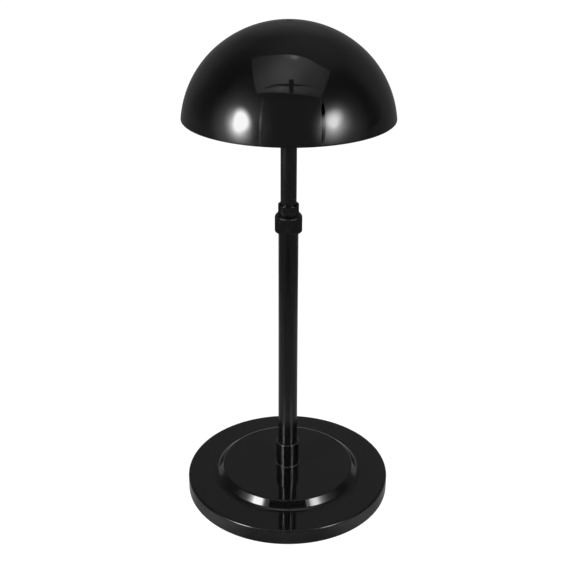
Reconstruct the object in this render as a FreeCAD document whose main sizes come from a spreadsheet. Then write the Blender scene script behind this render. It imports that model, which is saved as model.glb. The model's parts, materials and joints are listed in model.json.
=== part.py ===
import FreeCAD, Part
import math
import os
from types import SimpleNamespace

import Sketcher

# Millinery stand for one hat: a domed head on a telescopic mast, a ribbed
# locking ring that squeezes a slotted collet, and a round weighted base.
# The origin is on the table, at the middle of the four foot pads, with +Z up.
# Sizes are in millimetres.

SIZES_MM = {
    # moulded base cover, heights above its lower edge
    "base_radius": 87.5,
    "base_wall": 2.4,
    "rim_height": 13.5,
    "rim_edge_round": 2.0,
    "plateau_height": 20.6,
    "step_top_radius": 56.2,
    "step_run": 6.1,
    "step_top_round": 2.0,
    "step_foot_round": 6.0,
    "boss_radius": 13.0,
    "base_rib_thickness": 1.8,
    "base_rib_inset": 14.1,
    # closing plate, ballast and pads under the cover
    "plate_thickness": 2.0,
    "plate_recess": 0.9,
    "plate_gap": 0.3,
    "well_radius": 13.5,
    "well_depth": 7.6,
    "ballast_inset": 11.1,
    "ballast_thickness": 4.5,
    "ballast_gap": 0.3,
    "pad_radius": 7.0,
    "pad_thickness": 1.5,
    "pad_inset": 21.5,
    # bolt that clamps the base to the pole
    "bolt_radius": 4.0,
    "bolt_end_gap": 0.26,
    "bolt_flats_width": 13.0,
    "bolt_head_height": 5.3,
    "bolt_hole_gap": 0.25,
    "washer_radius": 10.0,
    "washer_thickness": 1.6,
    "insert_radius": 5.5,
    "insert_length": 14.0,
    "foot_plug_length": 22.0,
    # pole foot and fixed outer tube
    "ferrule_wall": 0.78,
    "ferrule_height": 22.2,
    "ferrule_floor": 3.0,
    "ferrule_edge_round": 0.5,
    "ferrule_foot_flare": 0.9,
    "ferrule_foot_edge": 0.35,
    "outer_tube_wall": 1.1,
    "outer_tube_length": 222.56,
    # slotted collet on top of the outer tube
    "collet_socket_depth": 5.8,
    "collet_wall": 1.18,
    "collet_body_height": 9.65,
    "collet_cone_height": 2.4,
    "collet_height": 22.24,
    "sleeve_step": 1.04,
    "mouth_wall": 1.1,
    "mouth_depth": 6.0,
    "slot_width": 1.2,
    "slot_depth": 14.6,
    # locking ring
    "ring_wall": 1.55,
    "ring_lip_height": 2.54,
    "ring_drop": 0.56,
    "ring_bottom_chamfer": 0.5,
    "ring_shoulder_height": 2.6,
    "ring_shoulder_round": 1.0,
    "ring_lip_width": 0.44,
    "ring_cone_gap": 0.15,
    "flute_radius": 1.6,
    "flute_depth": 0.35,
    # sliding mast
    "inner_tube_radius": 6.35,
    "inner_tube_wall": 1.0,
    "inner_tube_length": 237.34,
    "tube_gap": 0.65,
    "rise_room": 86.0,
    "bush_length": 14.0,
    "bush_stem_length": 12.0,
    "cap_head_height": 2.5,
    "cap_edge_round": 0.8,
    "cap_stem_length": 12.0,
    # domed head, heights above its rim
    "dome_radius": 81.5,
    "dome_height": 71.05,
    "crown_radius": 84.0,
    "dome_wall": 2.2,
    "rim_round": 0.6,
    "socket_wall": 3.18,
    "socket_bottom": 36.0,
    "socket_end_skin": 3.05,
    "gusset_thickness": 1.6,
    "gusset_reach": 44.0,
    "gusset_step": 3.0,
    "gate_dimple_radius": 2.2,
    "gate_dimple_depth": 0.3,
    "gate_nib_radius": 0.8,
    # clearances
    "press_gap": 0.02,
    "running_gap": 0.07,
    "thread_gap": 0.1,
    "bearing_gap": 0.1,
}

FULL_TURN_DEG = 360.0
CROWN_ANGLE_DEG = 40.0
BASE_RIB_COUNT = 6
PAD_COUNT = 4
SLOT_COUNT = 3
FLUTE_COUNT = 30
GUSSET_COUNT = 4
HEX_SIDES = 6
FIRST_SLOT_DEG = 90.0
TOP_DEG = 90.0
HALF = 0.5
SAME_PLACE_MM = 1e-5


class Length:
    """A length that also remembers the sheet formula it comes from."""

    def __init__(self, value, formula):
        self.value = value
        self.formula = formula

    def __add__(self, other):
        return Length(self.value + other.value, f"({self.formula} + {other.formula})")

    def __sub__(self, other):
        return Length(self.value - other.value, f"({self.formula} - {other.formula})")

    def __mul__(self, share):
        return Length(self.value * share, f"({self.formula} * {share:.9f})")


def make_sheet(doc):
    """Write the sizes to the sheet and give back one Length for each alias."""
    sheet = doc.addObject("Spreadsheet::Sheet", "Sizes")
    for row, (alias, value) in enumerate(SIZES_MM.items(), start=1):
        sheet.set(f"A{row}", alias)
        sheet.set(f"B{row}", str(value))
        sheet.setAlias(f"B{row}", alias)
    doc.recompute()
    lengths = {alias: Length(float(sheet.get(alias)), f"Sizes.{alias}") for alias in SIZES_MM}
    return SimpleNamespace(**lengths)


doc = FreeCAD.newDocument("HatStand")
mm = make_sheet(doc)
ZERO = Length(0.0, "0")


def new_body(label):
    body = doc.addObject("PartDesign::Body", label)
    body.Label = label
    return body


def new_sketch(body, role, name):
    """A sketch on one of the body's own origin planes."""
    plane = [item for item in body.Origin.OriginFeatures if item.Role == role][0]
    sketch = body.newObject("Sketcher::SketchObject", name)
    sketch.AttachmentSupport = [(plane, "")]
    sketch.MapMode = "FlatFace"
    return sketch


def hold(sketch, kind, members, length):
    """Add one driven constraint and bind it to its formula."""
    index = sketch.addConstraint(Sketcher.Constraint(kind, *members, length.value))
    sketch.setExpression(f"Constraints[{index}]", length.formula)


def hold_point(sketch, edge, end, point):
    hold(sketch, "DistanceX", (-1, 1, edge, end), point[0])
    hold(sketch, "DistanceY", (-1, 1, edge, end), point[1])


def add_polygon(sketch, corners):
    """A closed outline of straight sides, each corner held by two formulas."""
    vectors = [FreeCAD.Vector(across.value, up.value, 0) for across, up in corners]
    following = vectors[1:] + vectors[:1]
    first = sketch.GeometryCount
    for start, end in zip(vectors, following):
        sketch.addGeometry(Part.LineSegment(start, end), False)
    count = len(corners)
    for side in range(count):
        after = first + (side + 1) % count
        sketch.addConstraint(Sketcher.Constraint("Coincident", first + side, 2, after, 1))
        hold_point(sketch, first + side, 1, corners[side])


def add_circle(sketch, centre, radius):
    middle = FreeCAD.Vector(centre[0].value, centre[1].value, 0)
    circle = sketch.addGeometry(Part.Circle(middle, FreeCAD.Vector(0, 0, 1), radius.value), False)
    hold_point(sketch, circle, 3, centre)
    hold(sketch, "Radius", (circle,), radius)


def revolve(body, sketch, name):
    """A full turn of the sketch about its vertical axis."""
    turned = body.newObject("PartDesign::Revolution", name)
    turned.Profile = sketch
    turned.ReferenceAxis = (sketch, ["V_Axis"])
    turned.Angle = FULL_TURN_DEG
    sketch.Visibility = False
    return turned


def turned_body(label, corners):
    """A body turned from one outline in the XZ plane."""
    body = new_body(label)
    sketch = new_sketch(body, "XZ_Plane", f"{label}_outline")
    add_polygon(sketch, corners)
    revolve(body, sketch, f"{label}_turned")
    return body


def pad(body, sketch, name, length, midplane=False):
    solid = body.newObject("PartDesign::Pad", name)
    solid.Profile = sketch
    solid.setExpression("Length", length.formula)
    solid.Midplane = midplane
    return solid


def pocket(body, sketch, name, length, reverse):
    cut = body.newObject("PartDesign::Pocket", name)
    cut.Profile = sketch
    cut.setExpression("Length", length.formula)
    cut.Reversed = reverse
    return cut


def polar_pattern(body, feature, name, count):
    """Copies of a feature spread evenly about the body's Z axis."""
    axis = [item for item in body.Origin.OriginFeatures if item.Role == "Z_Axis"][0]
    pattern = body.newObject("PartDesign::PolarPattern", name)
    pattern.Originals = [feature]
    pattern.Axis = (axis, [""])
    pattern.Angle = FULL_TURN_DEG
    pattern.Occurrences = count
    body.Tip = pattern
    return pattern


def circle_edges(feature, radius, height):
    """Names of the feature's circular edges of one radius at one height."""
    names = []
    for number, edge in enumerate(feature.Shape.Edges, start=1):
        if edge.Degenerated or not isinstance(edge.Curve, Part.Circle):
            continue
        curve = edge.Curve
        same_radius = abs(curve.Radius - radius.value) < SAME_PLACE_MM
        if same_radius and abs(curve.Center.z - height.value) < SAME_PLACE_MM:
            names.append(f"Edge{number}")
    return names


def round_edges(body, base, name, places, radius):
    """Fillet the circular edges at the given radii and heights."""
    doc.recompute()
    names = [edge for place in places for edge in circle_edges(base, *place)]
    fillet = body.newObject("PartDesign::Fillet", name)
    fillet.Base = (base, names)
    fillet.setExpression("Radius", radius.formula)
    body.Tip = fillet
    return fillet


def raise_to(piece, height):
    piece.setExpression("Placement.Base.z", height.formula)


def tube(label, radius, wall, length, height):
    """A plain tube standing on its lower end."""
    body = new_body(label)
    sketch = new_sketch(body, "XY_Plane", f"{label}_section")
    add_circle(sketch, (ZERO, ZERO), radius)
    add_circle(sketch, (ZERO, ZERO), radius - wall)
    pad(body, sketch, f"{label}_length", length)
    raise_to(body, height)
    return body


# Heights above the table, each worked out from the pieces below it.
BASE_Z = mm.pad_thickness - mm.plate_recess
PLATE_Z = mm.pad_thickness
WELL_FLOOR_Z = PLATE_Z + mm.well_depth
HEAD_TOP_Z = WELL_FLOOR_Z - mm.washer_thickness
BOSS_Z = WELL_FLOOR_Z + mm.plate_thickness
BALLAST_Z = PLATE_Z + mm.plate_thickness
BALLAST_TOP_Z = BALLAST_Z + mm.ballast_thickness
PLATEAU_Z = BASE_Z + mm.plateau_height
TUBE_FOOT_Z = PLATEAU_Z + mm.ferrule_floor
TUBE_TOP_Z = TUBE_FOOT_Z + mm.outer_tube_length
COLLET_Z = TUBE_TOP_Z - mm.collet_socket_depth
RING_Z = COLLET_Z - mm.ring_drop
MAST_Z = TUBE_TOP_Z - mm.rise_room
MAST_TOP_Z = MAST_Z + mm.inner_tube_length
SOCKET_END = mm.dome_height - mm.socket_end_skin
DOME_Z = MAST_TOP_Z + mm.cap_head_height + mm.bearing_gap - SOCKET_END
BOLT_END_Z = TUBE_FOOT_Z + mm.insert_length - mm.bolt_end_gap

# Radii that fit each other, worked out from the sliding tube and the bolt.
BOLT_HOLE_RADIUS = mm.bolt_radius + mm.bolt_hole_gap
STEP_FOOT_RADIUS = mm.step_top_radius + mm.step_run
COVER_INSIDE_RADIUS = mm.base_radius - mm.base_wall
OUTER_TUBE_BORE = mm.inner_tube_radius + mm.tube_gap
OUTER_TUBE_RADIUS = OUTER_TUBE_BORE + mm.outer_tube_wall
TUBE_SOCKET_RADIUS = OUTER_TUBE_RADIUS + mm.press_gap
COLLET_RADIUS = TUBE_SOCKET_RADIUS + mm.collet_wall
SLEEVE_RADIUS = COLLET_RADIUS - mm.sleeve_step
RING_BORE = COLLET_RADIUS + mm.thread_gap
RING_RADIUS = RING_BORE + mm.ring_wall
MAST_BORE = mm.inner_tube_radius + mm.running_gap
SOCKET_RADIUS = MAST_BORE + mm.socket_wall


def base_cover():
    """Moulded cover: flat outer land, sloped step, plateau, bolt boss, ribs inside."""
    wall = mm.base_wall
    rise = mm.plateau_height - mm.rim_height
    slope_share = math.tan(math.atan2(rise.value, mm.step_run.value) * HALF)
    inside_top_radius = mm.step_top_radius - wall * slope_share
    inside_foot_radius = STEP_FOOT_RADIUS - wall * slope_share
    body = new_body("base_cover")
    sketch = new_sketch(body, "XZ_Plane", "cover_outline")
    add_polygon(sketch, [
        (mm.base_radius, ZERO),
        (mm.base_radius, mm.rim_height),
        (STEP_FOOT_RADIUS, mm.rim_height),
        (mm.step_top_radius, mm.plateau_height),
        (BOLT_HOLE_RADIUS, mm.plateau_height),
        (BOLT_HOLE_RADIUS, BOSS_Z - BASE_Z),
        (mm.boss_radius, BOSS_Z - BASE_Z),
        (mm.boss_radius, mm.plateau_height - wall),
        (inside_top_radius, mm.plateau_height - wall),
        (inside_foot_radius, mm.rim_height - wall),
        (COVER_INSIDE_RADIUS, mm.rim_height - wall),
        (COVER_INSIDE_RADIUS, ZERO),
    ])
    shell = revolve(body, sketch, "cover_shell")
    top = [(mm.step_top_radius, mm.plateau_height)]
    foot = [(STEP_FOOT_RADIUS, mm.rim_height)]
    edge = [(mm.base_radius, mm.rim_height)]
    shell = round_edges(body, shell, "step_top_round", top, mm.step_top_round)
    shell = round_edges(body, shell, "step_foot_round", foot, mm.step_foot_round)
    round_edges(body, shell, "rim_edge_round", edge, mm.rim_edge_round)
    # the ribs end inside the walls, so their outline runs along the middle of each wall
    half_wall = wall * HALF
    rib_foot = BALLAST_TOP_Z + mm.ballast_gap - BASE_Z
    rib_start = mm.boss_radius - half_wall
    rib_end = COVER_INSIDE_RADIUS - mm.base_rib_inset
    rib_sketch = new_sketch(body, "XZ_Plane", "cover_rib_outline")
    add_polygon(rib_sketch, [
        (rib_start, BOSS_Z - BASE_Z),
        (mm.well_radius + mm.plate_thickness + wall, BOSS_Z - BASE_Z),
        (mm.well_radius + mm.plate_thickness + wall, rib_foot),
        (rib_end, rib_foot),
        (rib_end, mm.rim_height - half_wall),
        (inside_foot_radius, mm.rim_height - half_wall),
        (inside_top_radius, mm.plateau_height - half_wall),
        (rib_start, mm.plateau_height - half_wall),
    ])
    rib = pad(body, rib_sketch, "cover_rib", mm.base_rib_thickness, midplane=True)
    polar_pattern(body, rib, "cover_ribs", BASE_RIB_COUNT)
    raise_to(body, BASE_Z)
    return body


def base_plate():
    """Closing plate with a raised well that hides the bolt head."""
    thickness = mm.plate_thickness
    plate_radius = COVER_INSIDE_RADIUS - mm.plate_gap
    body = turned_body("base_plate", [
        (mm.well_radius, ZERO),
        (plate_radius, ZERO),
        (plate_radius, thickness),
        (mm.well_radius + thickness, thickness),
        (mm.well_radius + thickness, mm.well_depth + thickness),
        (BOLT_HOLE_RADIUS, mm.well_depth + thickness),
        (BOLT_HOLE_RADIUS, mm.well_depth),
        (mm.well_radius, mm.well_depth),
    ])
    raise_to(body, PLATE_Z)
    return body


def ballast_disc():
    """Steel disc that lies on the closing plate round its well."""
    radius = COVER_INSIDE_RADIUS - mm.ballast_inset
    hole = mm.well_radius + mm.plate_thickness + mm.ballast_gap
    return tube("ballast_disc", radius, radius - hole, mm.ballast_thickness, BALLAST_Z)


def foot_pads():
    """Round rubber pads stuck under the closing plate."""
    circle_radius = mm.base_radius - mm.pad_inset
    pads = []
    for number in range(PAD_COUNT):
        angle = math.tau * (number + HALF) / PAD_COUNT
        one = doc.addObject("Part::Cylinder", f"pad_{number + 1}")
        one.setExpression("Radius", mm.pad_radius.formula)
        one.setExpression("Height", mm.pad_thickness.formula)
        one.setExpression("Placement.Base.x", (circle_radius * math.cos(angle)).formula)
        one.setExpression("Placement.Base.y", (circle_radius * math.sin(angle)).formula)
        pads.append(one)
    group = doc.addObject("Part::Compound", "foot_pads")
    group.Label = "foot_pads"
    group.Links = pads
    return group


def base_bolt():
    """Hexagon bolt with its head down in the well of the closing plate."""
    head = doc.addObject("Part::Prism", "bolt_head")
    head.Polygon = HEX_SIDES
    corner_share = HALF / math.cos(math.pi / HEX_SIDES)
    head.setExpression("Circumradius", (mm.bolt_flats_width * corner_share).formula)
    head.setExpression("Height", mm.bolt_head_height.formula)
    shank = doc.addObject("Part::Cylinder", "bolt_shank")
    shank.setExpression("Radius", mm.bolt_radius.formula)
    shank.setExpression("Height", (BOLT_END_Z - HEAD_TOP_Z + mm.bolt_head_height).formula)
    bolt = doc.addObject("Part::Fuse", "base_bolt")
    bolt.Label = "base_bolt"
    bolt.Base = head
    bolt.Tool = shank
    raise_to(bolt, HEAD_TOP_Z - mm.bolt_head_height)
    return bolt


def base_washer():
    wall = mm.washer_radius - BOLT_HOLE_RADIUS
    return tube("base_washer", mm.washer_radius, wall, mm.washer_thickness, HEAD_TOP_Z)


def pole_ferrule():
    """Cup on the plateau that holds the foot of the outer tube, with a flared foot."""
    flare_round_share = 0.9
    radius = TUBE_SOCKET_RADIUS + mm.ferrule_wall
    foot_radius = radius + mm.ferrule_foot_flare
    body = turned_body("pole_ferrule", [
        (BOLT_HOLE_RADIUS, ZERO),
        (foot_radius, ZERO),
        (foot_radius, mm.ferrule_foot_edge),
        (radius, mm.ferrule_foot_edge),
        (radius, mm.ferrule_height),
        (TUBE_SOCKET_RADIUS, mm.ferrule_height),
        (TUBE_SOCKET_RADIUS, mm.ferrule_floor),
        (BOLT_HOLE_RADIUS, mm.ferrule_floor),
    ])
    edge = [(radius, mm.ferrule_height)]
    lip = round_edges(body, body.Tip, "ferrule_edge_round", edge, mm.ferrule_edge_round)
    corner = [(radius, mm.ferrule_foot_edge)]
    flare_round = mm.ferrule_foot_flare * flare_round_share
    round_edges(body, lip, "ferrule_foot_round", corner, flare_round)
    raise_to(body, PLATEAU_Z)
    return body


def foot_plug():
    """Plug in the foot of the outer tube, with a pocket for the threaded insert."""
    outside = OUTER_TUBE_BORE - mm.press_gap
    pocket_radius = mm.insert_radius + mm.press_gap
    body = turned_body("foot_plug", [
        (pocket_radius, ZERO),
        (outside, ZERO),
        (outside, mm.foot_plug_length),
        (ZERO, mm.foot_plug_length),
        (ZERO, mm.insert_length),
        (pocket_radius, mm.insert_length),
    ])
    raise_to(body, TUBE_FOOT_Z)
    return body


def foot_insert():
    """Brass insert that the bolt screws into."""
    wall = mm.insert_radius - mm.bolt_radius - mm.press_gap
    return tube("foot_insert", mm.insert_radius, wall, mm.insert_length, TUBE_FOOT_Z)


def outer_tube():
    return tube("outer_tube", OUTER_TUBE_RADIUS, mm.outer_tube_wall, mm.outer_tube_length, TUBE_FOOT_Z)


def collet():
    """Slotted chuck: threaded body on the outer tube, cone, and slim sleeve above."""
    mouth = SLEEVE_RADIUS - mm.mouth_wall
    mouth_foot = mm.collet_height - mm.mouth_depth
    body = turned_body("collet", [
        (TUBE_SOCKET_RADIUS, ZERO),
        (COLLET_RADIUS, ZERO),
        (COLLET_RADIUS, mm.collet_body_height),
        (SLEEVE_RADIUS, mm.collet_body_height + mm.collet_cone_height),
        (SLEEVE_RADIUS, mm.collet_height),
        (mouth, mm.collet_height),
        (mouth, mouth_foot),
        (MAST_BORE, mouth_foot - (mouth - MAST_BORE)),
        (MAST_BORE, mm.collet_socket_depth),
        (TUBE_SOCKET_RADIUS, mm.collet_socket_depth),
    ])
    # one slot runs from the axis out through the wall, on the body's own X axis
    slot_sketch = new_sketch(body, "XY_Plane", "collet_slot_outline")
    slot_sketch.setExpression("AttachmentOffset.Base.z", (mm.collet_height - mm.slot_depth).formula)
    half_slot = mm.slot_width * HALF
    reach = COLLET_RADIUS + mm.slot_width
    add_polygon(slot_sketch, [
        (ZERO, ZERO - half_slot),
        (reach, ZERO - half_slot),
        (reach, half_slot),
        (ZERO, half_slot),
    ])
    slot = pocket(body, slot_sketch, "collet_slot", mm.slot_depth + mm.slot_width, reverse=True)
    polar_pattern(body, slot, "collet_slots", SLOT_COUNT)
    body.Placement.Rotation = FreeCAD.Rotation(FreeCAD.Vector(0, 0, 1), FIRST_SLOT_DEG)
    raise_to(body, COLLET_Z)
    return body


def locking_ring():
    """Ribbed ring nut: threaded skirt, inner cone and a lip round the sleeve."""
    lip = SLEEVE_RADIUS + mm.thread_gap
    cone_foot = mm.ring_drop + mm.collet_body_height + mm.ring_cone_gap
    cone_top = cone_foot + mm.collet_cone_height
    height = cone_top + mm.ring_lip_height
    shoulder = height - mm.ring_shoulder_height
    body = turned_body("locking_ring", [
        (RING_BORE, ZERO),
        (RING_RADIUS - mm.ring_bottom_chamfer, ZERO),
        (RING_RADIUS, mm.ring_bottom_chamfer),
        (RING_RADIUS, shoulder),
        (lip + mm.ring_lip_width, height),
        (lip, height),
        (lip, cone_top),
        (RING_BORE, cone_foot),
    ])
    edge = [(RING_RADIUS, shoulder)]
    round_edges(body, body.Tip, "ring_shoulder_round", edge, mm.ring_shoulder_round)
    flute_sketch = new_sketch(body, "XY_Plane", "flute_section")
    flute_centre = (RING_RADIUS + mm.flute_radius - mm.flute_depth, ZERO)
    add_circle(flute_sketch, flute_centre, mm.flute_radius)
    flute = pocket(body, flute_sketch, "flute", height, reverse=True)
    polar_pattern(body, flute, "flutes", FLUTE_COUNT)
    raise_to(body, RING_Z)
    return body


def inner_tube():
    return tube("inner_tube", mm.inner_tube_radius, mm.inner_tube_wall, mm.inner_tube_length, MAST_Z)


def guide_bush():
    """Bush on the foot of the mast: slides in the outer tube and stops under the collet."""
    outside = OUTER_TUBE_BORE - mm.running_gap
    stem = mm.inner_tube_radius - mm.inner_tube_wall - mm.press_gap
    body = turned_body("guide_bush", [
        (ZERO, ZERO),
        (outside, ZERO),
        (outside, mm.bush_length),
        (stem, mm.bush_length),
        (stem, mm.bush_length + mm.bush_stem_length),
        (ZERO, mm.bush_length + mm.bush_stem_length),
    ])
    raise_to(body, MAST_Z - mm.bush_length)
    return body


def mast_cap():
    """Plug in the top of the mast: its head carries the dome."""
    stem = mm.inner_tube_radius - mm.inner_tube_wall - mm.press_gap
    head_top = mm.cap_stem_length + mm.cap_head_height
    body = turned_body("mast_cap", [
        (ZERO, ZERO),
        (stem, ZERO),
        (stem, mm.cap_stem_length),
        (mm.inner_tube_radius, mm.cap_stem_length),
        (mm.inner_tube_radius, head_top),
        (ZERO, head_top),
    ])
    edge = [(mm.inner_tube_radius, head_top)]
    round_edges(body, body.Tip, "cap_edge_round", edge, mm.cap_edge_round)
    raise_to(body, MAST_TOP_Z - mm.cap_stem_length)
    return body


def arc(sketch, centre, radius, start_deg, end_deg):
    """Add an arc about a centre, anticlockwise, and give back its number."""
    middle = FreeCAD.Vector(centre[0], centre[1], 0)
    circle = Part.Circle(middle, FreeCAD.Vector(0, 0, 1), radius)
    return sketch.addGeometry(
        Part.ArcOfCircle(circle, math.radians(start_deg), math.radians(end_deg)), False)


def dome_outline(sketch):
    """Half section of the dome: crown arc and side arc, wall, and the mast socket."""
    wall = mm.dome_wall
    crown = mm.crown_radius
    crown_centre_z = mm.dome_height - crown
    sine = math.sin(math.radians(CROWN_ANGLE_DEG))
    cosine = math.cos(math.radians(CROWN_ANGLE_DEG))
    rim = mm.dome_radius.value
    low = crown_centre_z.value
    # the side arc is tangent to the crown arc and passes through the rim
    step = rim ** 2 + low ** 2 - crown.value ** 2
    step = step / (2 * (rim * sine - low * cosine - crown.value))
    side_radius = crown.value - step
    side_centre = (step * sine, low + step * cosine)
    join_deg = TOP_DEG - CROWN_ANGLE_DEG
    rim_deg = -math.degrees(math.asin(side_centre[1] / side_radius))
    inner_side = side_radius - wall.value
    inner_rim_deg = -math.degrees(math.asin(side_centre[1] / inner_side))
    inner_crown = crown.value - wall.value
    socket = SOCKET_RADIUS.value
    socket_deg = math.degrees(math.acos(socket / inner_crown))
    socket_top = low + math.sqrt(inner_crown ** 2 - socket ** 2)
    inner_rim = side_centre[0] + inner_side * math.cos(math.radians(inner_rim_deg))

    crown_arc = arc(sketch, (0, low), crown.value, join_deg, TOP_DEG)
    side_arc = arc(sketch, side_centre, side_radius, rim_deg, join_deg)
    inner_side_arc = arc(sketch, side_centre, inner_side, inner_rim_deg, join_deg)
    inner_crown_arc = arc(sketch, (0, low), inner_crown, join_deg, socket_deg)

    def line(start, end):
        ends = [FreeCAD.Vector(point[0], point[1], 0) for point in (start, end)]
        return sketch.addGeometry(Part.LineSegment(*ends), False)

    foot = mm.socket_bottom.value
    roof = SOCKET_END.value
    rim_line = line((rim, 0), (inner_rim, 0))
    socket_side = line((socket, socket_top), (socket, foot))
    socket_foot = line((socket, foot), (MAST_BORE.value, foot))
    bore_side = line((MAST_BORE.value, foot), (MAST_BORE.value, roof))
    bore_roof = line((MAST_BORE.value, roof), (0, roof))
    axis_line = line((0, roof), (0, mm.dome_height.value))

    def join(kind, *members):
        sketch.addConstraint(Sketcher.Constraint(kind, *members))

    join("Tangent", crown_arc, 1, side_arc, 2)
    join("Coincident", side_arc, 1, rim_line, 1)
    join("Coincident", rim_line, 2, inner_side_arc, 1)
    join("Coincident", inner_side_arc, 2, inner_crown_arc, 1)
    join("Coincident", inner_crown_arc, 2, socket_side, 1)
    join("Coincident", socket_side, 2, socket_foot, 1)
    join("Coincident", socket_foot, 2, bore_side, 1)
    join("Coincident", bore_side, 2, bore_roof, 1)
    join("Coincident", bore_roof, 2, axis_line, 1)
    join("Coincident", axis_line, 2, crown_arc, 2)
    join("Coincident", side_arc, 3, inner_side_arc, 3)
    join("Coincident", crown_arc, 3, inner_crown_arc, 3)
    hold(sketch, "Radius", (crown_arc,), crown)
    hold_point(sketch, crown_arc, 2, (ZERO, mm.dome_height))
    hold_point(sketch, crown_arc, 1, (crown * sine, crown_centre_z + crown * cosine))
    inner_join = ((crown - wall) * sine, crown_centre_z + (crown - wall) * cosine)
    hold_point(sketch, inner_crown_arc, 1, inner_join)
    hold_point(sketch, side_arc, 1, (mm.dome_radius, ZERO))
    hold(sketch, "DistanceY", (-1, 1, rim_line, 2), ZERO)
    hold(sketch, "DistanceX", (-1, 1, socket_side, 1), SOCKET_RADIUS)
    hold_point(sketch, socket_side, 2, (SOCKET_RADIUS, mm.socket_bottom))
    hold_point(sketch, bore_side, 1, (MAST_BORE, mm.socket_bottom))
    hold_point(sketch, bore_roof, 1, (MAST_BORE, SOCKET_END))
    hold_point(sketch, axis_line, 1, (ZERO, SOCKET_END))


def gusset_outline(sketch):
    """Web from the socket to the crown; its curved side runs inside the dome's wall."""
    radius = mm.crown_radius - mm.dome_wall * HALF
    centre_z = mm.dome_height - mm.crown_radius
    inside = SOCKET_RADIUS - mm.gusset_thickness
    foot = mm.socket_bottom + mm.gusset_step
    low_deg = math.degrees(math.acos(mm.gusset_reach.value / radius.value))
    high_deg = math.degrees(math.acos(inside.value / radius.value))
    curve = arc(sketch, (0, centre_z.value), radius.value, low_deg, high_deg)
    reach_z = centre_z.value + radius.value * math.sin(math.radians(low_deg))
    inside_z = centre_z.value + radius.value * math.sin(math.radians(high_deg))
    low = FreeCAD.Vector(mm.gusset_reach.value, reach_z, 0)
    high = FreeCAD.Vector(inside.value, inside_z, 0)
    corner = FreeCAD.Vector(inside.value, foot.value, 0)
    side = sketch.addGeometry(Part.LineSegment(high, corner), False)
    slant = sketch.addGeometry(Part.LineSegment(corner, low), False)
    sketch.addConstraint(Sketcher.Constraint("Coincident", curve, 2, side, 1))
    sketch.addConstraint(Sketcher.Constraint("Coincident", side, 2, slant, 1))
    sketch.addConstraint(Sketcher.Constraint("Coincident", slant, 2, curve, 1))
    hold_point(sketch, curve, 3, (ZERO, centre_z))
    hold(sketch, "Radius", (curve,), radius)
    hold(sketch, "DistanceX", (-1, 1, curve, 1), mm.gusset_reach)
    hold(sketch, "DistanceX", (-1, 1, curve, 2), inside)
    hold_point(sketch, slant, 1, (inside, foot))


def dome_shell():
    """Domed head, hollow from below, with a ribbed socket for the mast."""
    body = new_body("dome_shell")
    sketch = new_sketch(body, "XZ_Plane", "dome_outline")
    dome_outline(sketch)
    wall = revolve(body, sketch, "dome_wall")
    round_edges(body, wall, "rim_round", [(mm.dome_radius, ZERO)], mm.rim_round)
    web_sketch = new_sketch(body, "XZ_Plane", "gusset_outline")
    gusset_outline(web_sketch)
    web = pad(body, web_sketch, "gusset", mm.gusset_thickness, midplane=True)
    polar_pattern(body, web, "gussets", GUSSET_COUNT)
    # moulding gate: a shallow dimple at the top with a small nib left in it
    gate_sketch = new_sketch(body, "XY_Plane", "gate_outline")
    gate_floor = mm.dome_height - mm.gate_dimple_depth
    gate_sketch.setExpression("AttachmentOffset.Base.z", gate_floor.formula)
    add_circle(gate_sketch, (ZERO, ZERO), mm.gate_dimple_radius)
    add_circle(gate_sketch, (ZERO, ZERO), mm.gate_nib_radius)
    pocket(body, gate_sketch, "gate_dimple", mm.gate_dimple_radius, reverse=True)
    raise_to(body, DOME_Z)
    return body


def check(piece):
    """Stop if a feature failed or the piece is not a sound solid."""
    shape = piece.Shape
    if shape.isNull() or not shape.isValid() or not shape.Solids:
        raise RuntimeError(f"{piece.Label} has no sound shape")


PIECES = [
    base_cover(),
    base_plate(),
    ballast_disc(),
    foot_pads(),
    base_bolt(),
    base_washer(),
    pole_ferrule(),
    foot_plug(),
    foot_insert(),
    outer_tube(),
    collet(),
    locking_ring(),
    inner_tube(),
    guide_bush(),
    mast_cap(),
    dome_shell(),
]

doc.recompute()
for item in doc.Objects:
    if "Invalid" in item.State or "Error" in item.State:
        raise RuntimeError(f"{item.Label} failed: {item.State}")
for piece in PIECES:
    check(piece)

os.makedirs("parts", exist_ok=True)
for piece in PIECES:
    piece.Shape.exportStep(f"parts/{piece.Label}.step")
    box = piece.Shape.BoundBox
    print(f"{piece.Label}: {len(piece.Shape.Solids)} solid, volume {piece.Shape.Volume:.1f}, "
          f"z {box.ZMin:.2f} to {box.ZMax:.2f}, width {box.XLength:.2f}")
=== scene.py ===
import json
import math

import bmesh
import bpy
from mathutils import Matrix, Vector


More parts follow.
